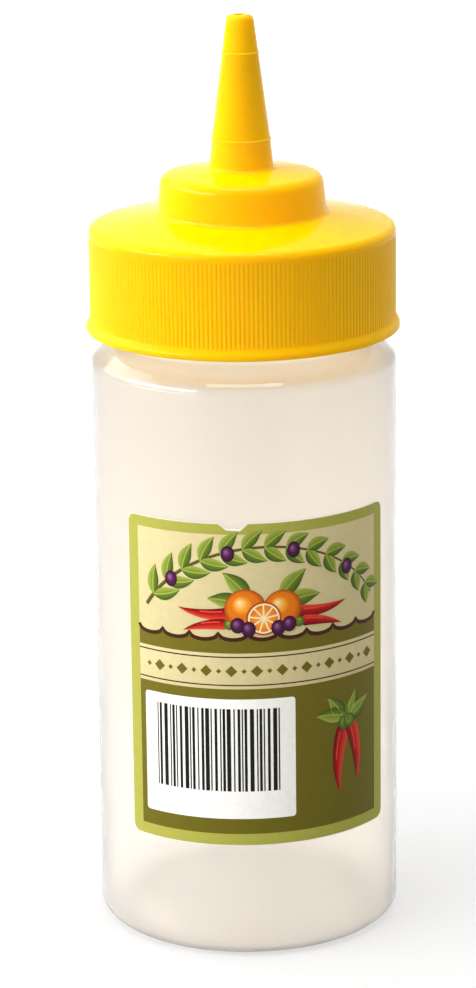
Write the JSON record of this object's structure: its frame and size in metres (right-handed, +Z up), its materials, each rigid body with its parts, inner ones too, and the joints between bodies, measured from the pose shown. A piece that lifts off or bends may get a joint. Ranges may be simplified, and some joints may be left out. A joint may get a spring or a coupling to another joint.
{
  "type": "condiment squeeze bottle",
  "caption": "Straight-sided translucent squeeze bottle with a wrapped label and a ribbed screw cap that carries a tall cone nozzle, for sauces.",
  "frame": {"origin": "the middle of the base, on the surface that the bottle stands on", "axes": "+Z up along the bottle and its nozzle; the label faces -Y"},
  "size_m": [0.0714, 0.0714, 0.2104],
  "materials": {
    "bottle_plastic": "milky translucent polyethylene, waxy satin gloss",
    "label_film": "printed film, satin",
    "seal_rubber": "off-white silicone, matt",
    "cap_plastic": "glossy yellow polyethylene"
  },
  "bodies": {
    "bottle": {"bottle": "bottle_plastic", "label": "label_film"},
    "seal": {"seal_ring": "seal_rubber"},
    "cap": {"cap": "cap_plastic"}
  },
  "joints": [
    {"name": "seal_lift", "type": "slide", "parent": "bottle", "child": "seal", "axis": [0, 0, 1], "range_m": [0, 0.0075]},
    {"name": "cap_turn", "type": "hinge", "parent": "seal", "child": "cap", "pos_m": [0, 0, 0.1617], "axis": [0, 0, 1], "range_deg": [0, 540]}
  ],
  "couplings": [
    {"joint": "seal_lift", "follows": "cap_turn", "m_per_rad": 0.00079577}
  ]
}
